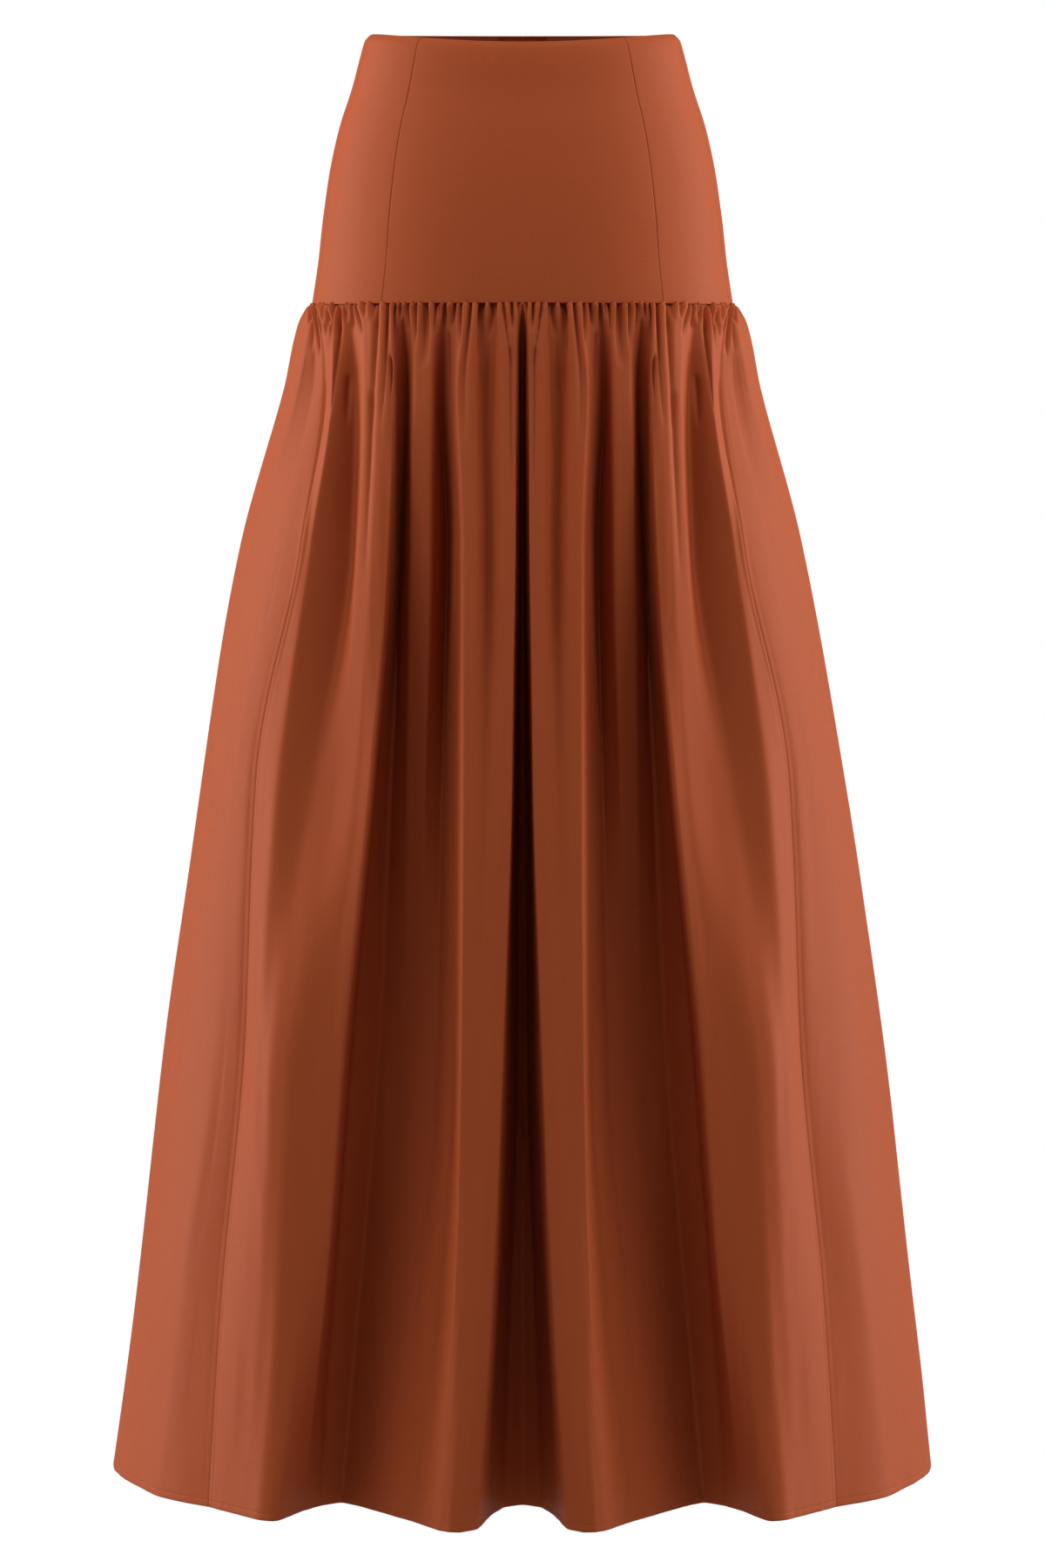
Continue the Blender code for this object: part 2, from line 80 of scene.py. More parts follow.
# mm below the waist, half width, front depth, back depth
YOKE_OUTLINE = (
    (0, 107.0, 81.0, 80.0),
    (4, 110.8, 84.5, 83.5),
    (12, 113.3, 87.0, 86.5),
    (36, 119.6, 92.0, 93.0),
    (67, 129.5, 100.0, 103.0),
    (98, 136.3, 107.0, 112.0),
    (129, 140.6, 112.0, 118.0),
    (160, 144.0, 115.5, 121.5),
    (190, 148.5, 118.0, 122.0),
)
SKIRT_OUTLINE = (
    (190, 148.5, 118.0, 122.0),
    (202, 157.0, 125.0, 129.0),
    (250, 168.0, 137.0, 141.0),
    (355, 195.5, 160.0, 163.0),
    (520, 225.5, 190.0, 190.0),
    (710, 254.0, 220.0, 216.0),
    (860, 272.0, 245.0, 238.0),
    (1010, 291.0, 272.0, 262.0),
)

# Fold lines down the cloth, from the centre to the side:
# name, mm from the centre at each of FOLD_HEIGHTS, mm behind the outline at each of them
FOLD_HEIGHTS = (190, 250, 355, 520, 710, 860, 1010)
FRONT_FOLDS = (
    ("centre_floor", (0, 0, 0, 0, 0, 0, 0), (12, 32, 54, 70, 84, 92, 104)),
    ("centre_floor_edge", (1, 1.5, 2, 2.5, 4, 8, 12), (11, 28, 50, 66, 78, 84, 94)),
    ("centre_wall", (2, 2.6, 3.2, 4.2, 9.5, 15, 21), (6, 14, 27, 36, 46, 52, 60)),
    ("inner_ridge_edge", (4, 3.8, 4.2, 6.5, 13, 19.5, 30), (1, 1, 1, 2, 3, 5, 12)),
    ("inner_ridge_top", (12, 14.5, 14, 16, 22, 29, 41), (0, 0, 0, 0, 0, 0, 0)),
    ("inner_dip", (24, 25, 22.5, 25, 31, 37, 49), (5, 14, 13, 5, 1, 0, 1)),
    ("inner_ridge_middle", (32, 34, 32, 34, 37, 42, 55), (0, 0, 0, 0, 0, 0, 5)),
    ("inner_ridge_shoulder", (38, 45, 42, 41, 42.5, 46, 60), (0, 0, 0, 0, 0, 1, 12)),
    ("inner_ridge_foot", (46, 49.5, 46, 46.5, 48, 57, 75), (6, 12, 28, 44, 44, 38, 35)),
    ("inner_floor", (54, 56, 52, 55, 59, 71, 89), (10, 24, 50, 70, 68, 60, 52)),
    ("middle_ridge_in", (60, 62, 62.5, 67, 72, 84, 99), (3, 5, 22, 56, 72, 70, 64)),
    ("middle_ridge_out", (74, 74.5, 77, 80, 82, 96, 110), (3, 4, 24, 57, 74, 76, 77)),
    ("outer_floor", (82, 79, 83, 91, 99, 111, 124), (10, 26, 52, 70, 78, 83, 87)),
    ("outer_wall", (87, 85, 88.5, 100, 117.5, 128, 137), (6, 14, 29, 46, 55, 58, 68)),
    ("outer_ridge_edge", (90, 88.5, 91.5, 103.5, 122.5, 133, 148), (1, 1, 2, 8, 11, 15, 42)),
    ("outer_ridge_top", (100, 100, 103, 115, 140, 149, 166), (0, 0, 1, 9, 5, 4, -6)),
    ("outer_ridge_back", (110, 110, 113.5, 127, 157, 165, 178), (1, 2, 4, 14, -5, -6, -9)),
    ("side_dip", (119, 115, 117, 144, 171, 177, 189), (6, 17, 26, 16, -8, -6, -3)),
    ("side_ridge", (131, 132, 145, 168, 182, 189, 201), (2, -2, -3, -1, -3, -2, 3)),
    ("side_seam", (144, 140.5, 151.5, 185, 192.5, 206, 213.5), (1, 9, -4, 4, 9, 8, 9)),
    ("side_crease", (146, 150, 170, 201, 215, 232, 251), (1, 9, 1, 1, 4, 2, 3)),
    ("side_flat", (147.5, 158.5, 184, 211, 238, 254, 270), (1, 1, 0, 1, 1, 2, 4)),
)
BACK_FOLDS = (
    ("centre_ridge", (0, 0, 0, 0, 0, 0, 0), (1, 1, 0, 0, 0, 0, 0)),
    ("centre_shoulder", (13, 15, 19, 24, 29, 34, 40), (0, 1, 1, 1, 2, 2, 3)),
    ("inner_floor", (20, 22, 27, 35, 43, 50, 58), (8, 17, 31, 44, 53, 57, 60)),
    ("inner_ridge_in", (25, 28, 33, 43, 56, 70, 86), (2, 4, 8, 12, 15, 17, 20)),
    ("inner_ridge_out", (48, 52, 60, 72, 88, 104, 122), (1, 1, 1, 1, 1, 1, 1)),
    ("middle_floor", (56, 60, 68, 80, 97, 114, 132), (8, 15, 26, 37, 46, 52, 57)),
    ("middle_ridge_in", (61, 66, 75, 89, 108, 127, 147), (2, 3, 6, 9, 12, 15, 18)),
    ("middle_ridge_out", (70, 76, 86, 102, 122, 140, 158), (1, 1, 2, 2, 1, 1, 1)),
    ("outer_floor", (80, 87, 100, 118, 140, 158, 176), (7, 10, 15, 18, 19, 18, 16)),
    ("outer_ridge_in", (90, 98, 114, 134, 157, 175, 193), (2, 2, 3, 3, 3, 2, 2)),
    ("outer_ridge_out", (111, 121, 141, 165, 190, 210, 229), (1, 1, 1, 1, 1, 1, 2)),
    ("side_dip", (123, 134, 154, 181, 207, 227, 246), (6, 11, 17, 22, 27, 31, 34)),
    ("side_ridge", (134, 147, 170, 198, 225, 245, 264), (1, 1, 2, 2, 2, 3, 4)),
    ("side_hollow", (144.5, 162, 189, 219, 247, 265, 283), (3, 6, 8, 9, 10, 11, 12)),
)

# Gathers of the front that run furthest, on each side of the centre: mm from the centre at the upper
# and lower end, mm below the yoke seam at both, depth, half widths, and how much steeper the side
# by the centre is
FRONT_GATHERS = (
    (144.1, 145.0, 0, 9, 2.4, 0.8, 1.0, 0.0),
    (139.9, 140.8, 0, 8, 2.6, 0.7, 0.9, 0.3),
    (137.8, 138.4, 0, 14, 3.2, 0.8, 1.2, 0.2),
    (134.2, 141.0, 0, 26, 3.6, 0.7, 1.1, 0.5),
    (130.6, 135.4, 0, 34, 6.0, 1.3, 2.4, 0.6),
    (126.1, 134.2, 0, 80, 4.4, 0.8, 1.5, 0.4),
    (121.4, 121.6, 0, 14, 3.4, 1.1, 1.8, -0.3),
    (118.1, 116.6, 0, 18, 5.4, 1.1, 2.6, 0.4),
    (114.8, 110.4, 0, 23, 4.6, 0.9, 1.5, 0.6),
    (109.1, 108.8, 0, 10, 3.4, 0.8, 1.2, 0.0),
    (100.7, 104.3, 0, 88, 4.6, 1.0, 2.2, -0.4),
    (93.5, 96.5, 0, 82, 4.6, 1.0, 2.0, -0.3),
    (87.5, 89.9, 0, 30, 3.8, 0.9, 1.5, 0.5),
    (83.9, 84.5, 0, 12, 3.0, 0.9, 1.2, 0.0),
    (73.1, 74.3, 0, 34, 4.8, 1.0, 1.6, 0.4),
    (67.7, 68.9, 0, 46, 4.2, 1.0, 1.6, 0.3),
    (56.9, 56.9, 0, 10, 3.0, 0.9, 1.2, 0.2),
    (41.9, 43.7, 0, 34, 4.2, 0.9, 1.6, 0.5),
    (35.4, 39.6, 0, 94, 5.2, 1.0, 2.2, 0.5),
    (26.4, 27.5, 0, 60, 5.2, 1.1, 1.8, 0.8),
    (18.0, 21.0, 0, 106, 4.0, 0.8, 2.0, 0.6),
    (13.2, 5.4, 0, 48, 4.2, 0.8, 1.8, 0.3),
    (90.6, 88.2, 36, 118, 6.0, 1.0, 1.4, 0.7),
    (119.5, 121.0, 49, 84, 4.2, 2.2, 1.4, 0.6),
    (8.2, 7.4, 30, 150, 3.4, 1.0, 1.6, 0.2),
    (50.8, 49.2, 20, 70, 5.0, 1.0, 1.6, 0.9),
    (104.5, 108.0, 60, 190, 3.0, 1.6, 2.6, -0.5),
    (138.0, 150.0, 52, 150, 2.4, 1.6, 3.0, 0.4),
)

# ---------------------------------------------------------------- curves and noise


def glide(heights, values, at):
    """Each row of values, read between the heights on a smooth curve that never overshoots."""
    xs = np.asarray(heights, float)
    ys = np.atleast_2d(np.asarray(values, float))
    steps = np.diff(xs)
    rises = np.diff(ys, axis=1) / steps
    slopes = np.zeros_like(ys)
    slopes[:, 0] = rises[:, 0]
    slopes[:, -1] = rises[:, -1]
    before, after = rises[:, :-1], rises[:, 1:]
    near = 2 * steps[1:] + steps[:-1]
    far = steps[1:] + 2 * steps[:-1]
    same = before * after > 0
    blend = near / np.where(same, before, 1) + far / np.where(same, after, 1)
    slopes[:, 1:-1] = np.where(same, (near + far) / np.where(same, blend, 1), 0)
    at = min(max(at, xs[0]), xs[-1])
    i = min(max(int(np.searchsorted(xs, at, side="right")) - 1, 0), len(xs) - 2)
    t = (at - xs[i]) / steps[i]
    stay = (1 + 2 * t) * (1 - t) ** 2
    go = t * t * (3 - 2 * t)
    lift = t * (1 - t) ** 2 * steps[i]
    drag = t * t * (t - 1) * steps[i]
    return stay * ys[:, i] + go * ys[:, i + 1] + lift * slopes[:, i] + drag * slopes[:, i + 1]


def outline_at(table, height):
    """Half width, front depth and back depth at a height."""
    columns = np.array(table, float).T
    return glide(columns[0], columns[1:], height)


def on_outline(sizes, angle):
    half_width, front, back = sizes
    depth = np.where(np.cos(angle) > 0, front, back)
    return half_width * np.sin(angle), -depth * np.cos(angle)


def smooth_step(low, high, at):
    t = np.clip((at - low) / (high - low), 0, 1)
    return t * t * (3 - 2 * t)


def value_noise(across, along, across_cell, along_cell, seed, period=None):
    """Smooth noise from -1 to 1 with cells of the given sizes. It closes on itself after the period."""
    draw = np.random.default_rng(seed)
    lattice = draw.uniform(-1, 1, (256, 256))
    cells = 256
    if period is not None:
        cells = max(4, round(period / across_cell))
        across_cell = period / cells
    a = np.asarray(across, float) / across_cell
    b = np.asarray(along, float) / along_cell + 57.3
    i, j = np.floor(a).astype(int), np.floor(b).astype(int)
    s, t = a - i, b - j
    s = s * s * s * (s * (6 * s - 15) + 10)
    t = t * t * t * (t * (6 * t - 15) + 10)
    i0, i1 = i % cells % 256, (i + 1) % cells % 256
    j0, j1 = j % 256, (j + 1) % 256
    top = lattice[i0, j0] * (1 - s) + lattice[i1, j0] * s
    low = lattice[i0, j1] * (1 - s) + lattice[i1, j1] * s
    return top * (1 - t) + low * t


# ---------------------------------------------------------------- gathered cloth

FRONT_ACROSS = np.array([row[1] for row in FRONT_FOLDS], float)
FRONT_BEHIND = np.array([row[2] for row in FRONT_FOLDS], float)
BACK_ACROSS = np.array([row[1] for row in BACK_FOLDS[::-1]], float)
BACK_BEHIND = np.array([row[2] for row in BACK_FOLDS[::-1]], float)


def half_fold_lines(height):
    """Angle and depth behind the outline of each fold line, from centre front to centre back."""
    half_width = outline_at(SKIRT_OUTLINE, height)[0]
    ramp = 1 - math.exp(-max(height - YOKE_DEPTH, 0) / GATHER_RAMP)
    front = np.arcsin(np.minimum(1, glide(FOLD_HEIGHTS, FRONT_ACROSS, height) / half_width))
    back = math.pi - np.arcsin(np.minimum(1, glide(FOLD_HEIGHTS, BACK_ACROSS, height) / half_width))
    front_in = ramp * glide(FOLD_HEIGHTS, FRONT_BEHIND, height)
    back_in = ramp * glide(FOLD_HEIGHTS, BACK_BEHIND, height)
    return np.concatenate([front, [math.pi / 2], back]), np.concatenate([front_in, [0], back_in])


def folded(sizes, angles, insets):
    """Outline points moved in: straight back on the front, square to the cloth elsewhere."""
    half_width, front, back = sizes
    x, y = on_outline(sizes, angles)
    out_x = np.where(np.cos(angles) > 0, front, back) * np.sin(angles)
    out_y = -half_width * np.cos(angles)
    length = np.hypot(out_x, out_y)
    straight = np.clip((np.cos(angles) - TURNED_COSINE) / (FRONTAL_COSINE - TURNED_COSINE), 0, 1)
    out_x = out_x / length * (1 - straight)
    out_y = out_y / length * (1 - straight) - straight
    return x - out_x * insets, y - out_y * insets


def cloth_measure():
    """Place of each fold line along the cloth: the longest run between neighbours at any height."""
    runs = 0.0
    for height in FOLD_HEIGHTS:
        x, y = folded(outline_at(SKIRT_OUTLINE, height), *half_fold_lines(height))
        runs = np.maximum(runs, np.hypot(np.diff(x), np.diff(y)))
    return np.concatenate([[0.0], np.cumsum(runs)])


MEASURE = cloth_measure()
HALF_SAMPLES = round(MEASURE[-1] / CLOTH_STEP)
WHOLE = 2 * MEASURE[-1]
FRONT_LINES = [row[0] for row in FRONT_FOLDS]
SEAM_PLACE = MEASURE[FRONT_LINES.index("side_seam")]
CREASE_PLACE = MEASURE[FRONT_LINES.index("outer_ridge_edge")]


def blurred(values, reach):
    span = int(4 * reach)
    bell = np.exp(-0.5 * (np.arange(-span, span + 1) / reach) ** 2)
    padded = np.concatenate([values[-span:], values, values[:span]])
    return np.convolve(padded, bell / bell.sum(), mode="valid")


def skirt_ring(height, places):
    """X and Y of the cloth at a height, at places along it from the centre front."""
    half_angle, half_inset = half_fold_lines(height)
    samples = np.linspace(0, MEASURE[-1], HALF_SAMPLES + 1)
    lean = np.interp(samples, MEASURE, half_angle) - samples / MEASURE[-1] * math.pi
    inset = np.interp(samples, MEASURE, half_inset)
    lean = np.concatenate([lean[:-1], -lean[:0:-1]])
    inset = np.concatenate([inset[:-1], inset[:0:-1]])
    around = np.linspace(0, WHOLE, 2 * HALF_SAMPLES + 1)[:-1]
    from_front = np.minimum(around, WHOLE - around)
    softer = smooth_step(SEAM_PLACE + 10, SEAM_PLACE + 60, from_front)
    beside = smooth_step(CREASE_PLACE, CREASE_PLACE + 20, from_front)
    softer = np.maximum(softer, beside * smooth_step(330, 620, height))
    lean, inset = (
        blurred(values, FOLD_BLUR / CLOTH_STEP) * (1 - softer)
        + blurred(values, BACK_BLUR / CLOTH_STEP) * softer
        for values in (lean, inset)
    )
    angle = np.interp(places, around, lean, period=WHOLE) + places / MEASURE[-1] * math.pi
    depth = np.interp(places, around, inset, period=WHOLE)
    return folded(outline_at(SKIRT_OUTLINE, height), angle, depth)


FRONT_COLUMNS = 590
BACK_COLUMNS = 591
ROW_START = 0.7
ROW_GROWTH = 0.03
ROW_LARGEST = 8.0
TUCK_ROWS = ((188.6, 0.9), (189.4, 0.85), (190.0, 0.75))
HEM_TURN = (
    (1009.2, 0.0), (1009.8, 0.2), (1010.0, 0.7), (1009.8, 1.3), (1009.2, 1.6), (1007.0, 1.6), (1004.5, 1.5),
)
HEM_STITCH = 4.8


def even_places(start, end, count):
    """Places between two side seams, a little closer together beside the seams."""
    t = np.linspace(0, 1, count)
    eased = t - 0.9 * np.sin(2 * math.pi * t) / (2 * math.pi) * 0.25
    return start + (end - start) * eased


def row_heights():
    heights = []
    height = YOKE_DEPTH + ROW_START
    while height < HEM_HEIGHT - HEM_DEPTH - 6:
        heights.append(height)
        height += min(ROW_START + ROW_GROWTH * (height - YOKE_DEPTH), ROW_LARGEST)
    heights += [HEM_HEIGHT - d for d in (9, 7.2, 6.4, 5.6, 5.2, 4.8, 4.4, 4.0, 3.2, 2.0)]
    return heights


def seam_arc(places):
    """Real distance round the ring just below the yoke seam."""
    x, y = skirt_ring(YOKE_DEPTH, places)
    return np.concatenate([[0], np.cumsum(np.hypot(np.diff(x), np.diff(y)))])


def nearest_place(across, height, near, reach):
    """The place within reach of another whose distance from the centre is closest to the one given."""
    places = near + np.linspace(-reach, reach, 201)
    x = skirt_ring(height, places)[0]
    return places[np.argmin(abs(x - across) + 0.02 * abs(places - near))]


def gather_list():
    """Every gather as (place at the seam, place at its end, length, depth, half widths)."""
    fine = np.linspace(0, WHOLE, 6001)
    arc = seam_arc(fine)
    at_seam = skirt_ring(YOKE_DEPTH, fine)[0]
    front = fine < SEAM_PLACE + 3
    gathers = []
    for upper, lower, first, last, depth, narrow, wide, steep in FRONT_GATHERS:
        start = nearest_place(upper, YOKE_DEPTH + first, np.interp(upper, at_seam[front], fine[front]), 12)
        end = nearest_place(lower, YOKE_DEPTH + last, start, 14)
        gathers.append((start, end, first, last, depth, narrow, wide, -steep))
        gathers.append((WHOLE - start, WHOLE - end, first, last, depth, narrow, wide, steep))
    taken = np.interp([g[0] for g in gathers if g[2] == 0], fine, arc)
    walk = 2.0
    draws = []
    while walk < arc[-1] / 2 - 1:
        draws.append((walk, RANDOM.uniform(0, 1, 7)))
        walk += RANDOM.uniform(4.6, 8.4)
    for half in (1, -1):
        for walk, draw in draws:
            if half < 0:
                back = smooth_step(210, 260, walk)
                draw = np.where(RANDOM.uniform(0, 1, 7) < back, RANDOM.uniform(0, 1, 7), draw)
            walk = walk + (draw[5] - 0.5) * 1.2
            at = walk if half > 0 else arc[-1] - walk
            if min(abs(taken - at)) < 2.4:
                continue
            place = np.interp(at, arc, fine)
            on_back = SEAM_PLACE < place < WHOLE - SEAM_PLACE
            length = 9 + 15 * draw[0]
            if draw[1] > (0.62 if on_back else 0.85):
                length = 20 + (95 if on_back else 45) * draw[0] ** 2
            depth = 4.0 + 3.0 * draw[2] + 0.02 * length
            narrow = 0.9 + 0.4 * draw[3]
            wide = narrow + 0.2 + 0.015 * length
            drift = (draw[4] - 0.5) * min(7.0, 0.3 * length) * half
            steep = (1.4 * draw[6] - 0.7) * half
            gathers.append((place, place + drift, 0, length, depth, narrow, wide, steep))
    return gathers


def gathers_at(gathers, below, places, arc):
    """How far in the gathers pull the cloth, and how far sideways, a distance below the seam."""
    inward = np.zeros_like(places)
    aside = np.zeros_like(places)
    for start, end, first, last, depth, narrow, wide, steep in gathers:
        if not first <= max(below, 0) < last:
            continue
        run = max(below, 0) - first
        t = run / (last - first)
        centre = np.interp((start + (end - start) * t) % WHOLE, places, arc)
        width = narrow + (wide - narrow) * t
        lead = 1.5 if first == 0 else 0.0
        onset = 1.6 if first == 0 else 3.0
        strength = depth * (1 - math.exp(-(run + lead) / onset)) * (1 - t) ** 0.75
        if first == 0:
            strength *= 1 + 1.5 * math.exp(-run / 12)
            width = max(width, 1.25)
        u = arc - centre
        u = np.where(u > arc[-1] / 2, u - arc[-1], np.where(u < -arc[-1] / 2, u + arc[-1], u)) / width
        near = abs(u) < 9
        u = u[near]
        u = np.where(u * steep > 0, u * (1 + 0.5 * abs(steep)), u / (1 + 0.7 * abs(steep)))
        inward[near] += strength * (0.8 * np.exp(-np.abs(u) ** 1.6) + 0.2 * np.exp(-np.abs(u / 2.4) ** 1.4))
        aside[near] -= 0.35 * width * u * np.exp(-u ** 2)
    return inward, aside


def cloth_grid():
    """Points of the whole gathered skirt, its two panels' column ranges, and each row's height."""
    front_places = even_places(-SEAM_PLACE, SEAM_PLACE, FRONT_COLUMNS)
    back_places = even_places(SEAM_PLACE, WHOLE - SEAM_PLACE, BACK_COLUMNS)
    centre = FRONT_COLUMNS // 2
    places = np.concatenate([front_places[centre:], back_places[1:], front_places[1:centre] + WHOLE])
    seam_left = FRONT_COLUMNS - FRONT_COLUMNS // 2 - 1
    seam_right = seam_left + BACK_COLUMNS - 1
    gathers = gather_list()
    rows = []
    levels = list(TUCK_ROWS) + [(h, 0.0) for h in row_heights()] + list(HEM_TURN)
    for height, tuck in levels:
        base_height = max(height, YOKE_DEPTH)
        x, y = skirt_ring(base_height, places)
        below = base_height - YOKE_DEPTH
        run_x = np.gradient(np.concatenate([x[-2:], x, x[:2]]))[2:-2]
        run_y = np.gradient(np.concatenate([y[-2:], y, y[:2]]))[2:-2]
        length = np.hypot(run_x, run_y)
        in_x, in_y = -run_y / length, run_x / length
        along_x, along_y = run_x / length, run_y / length
        arc = np.concatenate([[0], np.cumsum(np.hypot(np.diff(x), np.diff(y)))])
        inward, aside = gathers_at(gathers, below, places, arc)
        inward -= 0.85 * blurred(inward, 10) * math.exp(-below / 60)
        pinned = 1 - math.exp(-below / 6)
        inward += tuck + 0.3 * math.exp(-below / 0.7) * (tuck == 0)
        fade = smooth_step(0, 40, below)
        mirrored = np.minimum(places, WHOLE - places)
        on_back = smooth_step(SEAM_PLACE + 5, SEAM_PLACE + 60, mirrored)
        twin = np.where(places > MEASURE[-1], WHOLE - places, places)
        sway = np.where(on_back > 0.5, places, twin)
        soft = value_noise(twin, below, 46, 210, 3) * (1 - on_back)
        soft += value_noise(places, below, 62, 260, 4, WHOLE) * on_back * 2.2
        crease = value_noise(twin + 0.16 * below, below, 17, 95, 5) * (1 - on_back)
        crease += value_noise(sway + 0.12 * below, below, 22, 110, 6) * on_back
        ripple = value_noise(twin, below, 5.2, 34, 7) * math.exp(-below / 22)
        inward += pinned * (1.3 * fade * soft + 0.34 * crease * fade + 0.75 * ripple)
        for seam in (seam_left, (seam_left + seam_right) // 2, seam_right):
            from_seam = arc - arc[seam]
            groove = 0.55 * np.exp(-(from_seam / 0.9) ** 2)
            beside_groove = 0.22 * np.exp(-((abs(from_seam) - 4.2) / 1.6) ** 2)
            inward += (groove + beside_groove) * pinned
        stitched = HEM_HEIGHT - HEM_STITCH
        if tuck == 0:
            inward += 0.14 * math.exp(-((height - stitched) / 0.5) ** 2)
        if height > HEM_HEIGHT - 12:
            pucker = value_noise(places, height, 6.5, 60, 8, WHOLE)
            inward += 0.16 * pucker * smooth_step(HEM_HEIGHT - 12, stitched, height)
        x = x + in_x * inward + along_x * aside
        y = y + in_y * inward + along_y * aside
        rows.append(np.stack([x, y, np.full_like(x, -height)], axis=-1))
    return np.array(rows), places, seam_left, seam_right


# ---------------------------------------------------------------- meshes

def shown_object(name, mesh, material):
    mesh.materials.append(material)
    thing = bpy.data.objects.new(name, mesh)
    bpy.context.scene.collection.objects.link(thing)
    return thing


def build_mesh(name, vertices, faces, material, uv=None, smooth=True):
    """A mesh from millimetre points. uv holds a point of the flat cloth, in metres, for each vertex."""
    mesh = bpy.data.meshes.new(name)
    vertices = np.asarray(vertices, float) * MM
    mesh.from_pydata(vertices.tolist(), [], np.asarray(faces).tolist())
    if uv is not None:
        layer = mesh.uv_layers.new(name="cloth")
        index = np.zeros(len(mesh.loops), np.int32)
        mesh.loops.foreach_get("vertex_index", index)
        layer.data.foreach_set("uv", np.asarray(uv, np.float32)[index].ravel())
    if smooth:
        mesh.shade_smooth()
    return shown_object(name, mesh, material)


def grid_faces(rows, columns, start=0, flip=False):
    r, c = np.meshgrid(np.arange(rows - 1), np.arange(columns - 1), indexing="ij")
    a = (start + r * columns + c).ravel()
    quads = np.stack([a, a + columns, a + columns + 1, a + 1], axis=-1)
    return quads[:, ::-1] if flip else quads


def sheet_object(name, grid, across, material):
    """A single layer of cloth from rows of points. across is each column's place on the flat cloth."""
    rows, columns = grid.shape[:2]
    steps = np.linalg.norm(np.diff(grid, axis=0), axis=-1)
    down = np.concatenate([np.zeros((1, columns)), np.cumsum(steps, axis=0)])
    uv = np.stack([np.broadcast_to(across, (rows, columns)), -down], axis=-1).reshape(-1, 2) * MM
    return build_mesh(name, grid.reshape(-1, 3), grid_faces(rows, columns), material, uv)


def shell_object(name, outer, inner, material, across):
    """A closed wall between two grids of points."""
    rows, columns = outer.shape[:2]
    back = rows * columns
    faces = [grid_faces(rows, columns), grid_faces(rows, columns, back, flip=True)]
    top = np.arange(columns)
    low = back - columns + top
    left = np.arange(rows) * columns
    right = left + columns - 1
    for rim in (top[::-1], left, low, right[::-1]):
        p, q = rim[:-1], rim[1:]
        faces.append(np.stack([q, p, back + p, back + q], axis=-1))
    vertices = np.concatenate([outer.reshape(-1, 3), inner.reshape(-1, 3)])
    down = -outer[:, :, 2]
    uv = np.stack([np.broadcast_to(across, (rows, columns)), -down], axis=-1).reshape(-1, 2) * MM
    thing = build_mesh(name, vertices, np.concatenate(faces), material, np.concatenate([uv, uv]))
    thing.data.set_sharp_from_angle(angle=math.radians(60))
    return thing


# ---------------------------------------------------------------- yoke

# mm from the edge, mm in
EDGE_ROLL = ((0.0, 0.9), (0.1, 0.52), (0.25, 0.21), (0.5, 0.06), (1.0, 0.01), (2.0, 0.0))
TOP_ROLL = ((0.0, 0.62), (0.06, 0.36), (0.22, 0.15), (0.5, 0.03), (0.9, 0.0))
FOOT_ROLL = ((187.2, 0.0), (188.6, 0.0), (189.3, 0.05), (189.75, 0.2), (189.95, 0.42), (190.0, 0.6))
YOKE_CELL = 3.2
YOKE_EDGE_GAP = 0.004


def waist_drop(angle):
    """How far the waist edge lies below the origin at an angle."""
    turned = np.cos(angle)
    return np.where(turned > 0, FRONT_DIP * turned ** 2, BACK_RISE * turned)


def yoke_points(angle, along, inset):
    """Points on the yoke's surface, moved in by an inset."""
    sizes = outline_at(YOKE_OUTLINE, along)
    x, y = on_outline(sizes, angle)
    turn = 0.001
    ahead_x, ahead_y = on_outline(sizes, angle + turn)
    behind_x, behind_y = on_outline(sizes, angle - turn)
    run_x, run_y = ahead_x - behind_x, ahead_y - behind_y
    length = np.hypot(run_x, run_y)
    top = waist_drop(angle)
    z = -(top + (YOKE_DEPTH - top) * along / YOKE_DEPTH)
    return np.stack([x - run_y / length * inset, y + run_x / length * inset, z], axis=-1)


def turn_for(angle, along, distance):
    """The turn that moves a point of the yoke by a distance round it."""
    sizes = outline_at(YOKE_OUTLINE, along)
    turn = 0.001
    x0, y0 = on_outline(sizes, angle)
    x1, y1 = on_outline(sizes, angle + turn)
    return distance * turn / np.hypot(x1 - x0, y1 - y0)


def yoke_columns(start, end, along, edges):
    """Angles of a row's columns, with close ones at the edges, and how far in each one rolls."""
    first, last = math.radians(start), math.radians(end)
    roll = np.array(EDGE_ROLL)
    first_turn = turn_for(first, along, 1.0)
    last_turn = turn_for(last, along, 1.0)
    inner_first = first + first_turn * (roll[-1, 0] + edges)
    inner_last = last - last_turn * (roll[-1, 0] + edges)
    sizes = outline_at(YOKE_OUTLINE, YOKE_DEPTH)
    count = max(4, round((last - first) * sizes[:2].mean() / YOKE_CELL))
    middle = np.linspace(inner_first, inner_last, count + 1)[1:-1]
    angles = np.concatenate([
        first + first_turn * (roll[:, 0] + edges),
        middle,
        last - last_turn * (roll[::-1, 0] + edges),
    ])
    insets = np.concatenate([roll[:, 1], np.zeros(count - 1), roll[::-1, 1]])
    return angles, insets


def yoke_rows():
    rows = list(TOP_ROLL)
    rows += [(a, 0.0) for a in (1.3, 1.7, 2.0, 2.3, 2.7, 3.3, 4.2, 5.5, 7.5)]
    rows += [(a, 0.0) for a in np.arange(10.5, 186, YOKE_CELL)]
    return rows + list(FOOT_ROLL)


UNDERSTITCH = 2.0


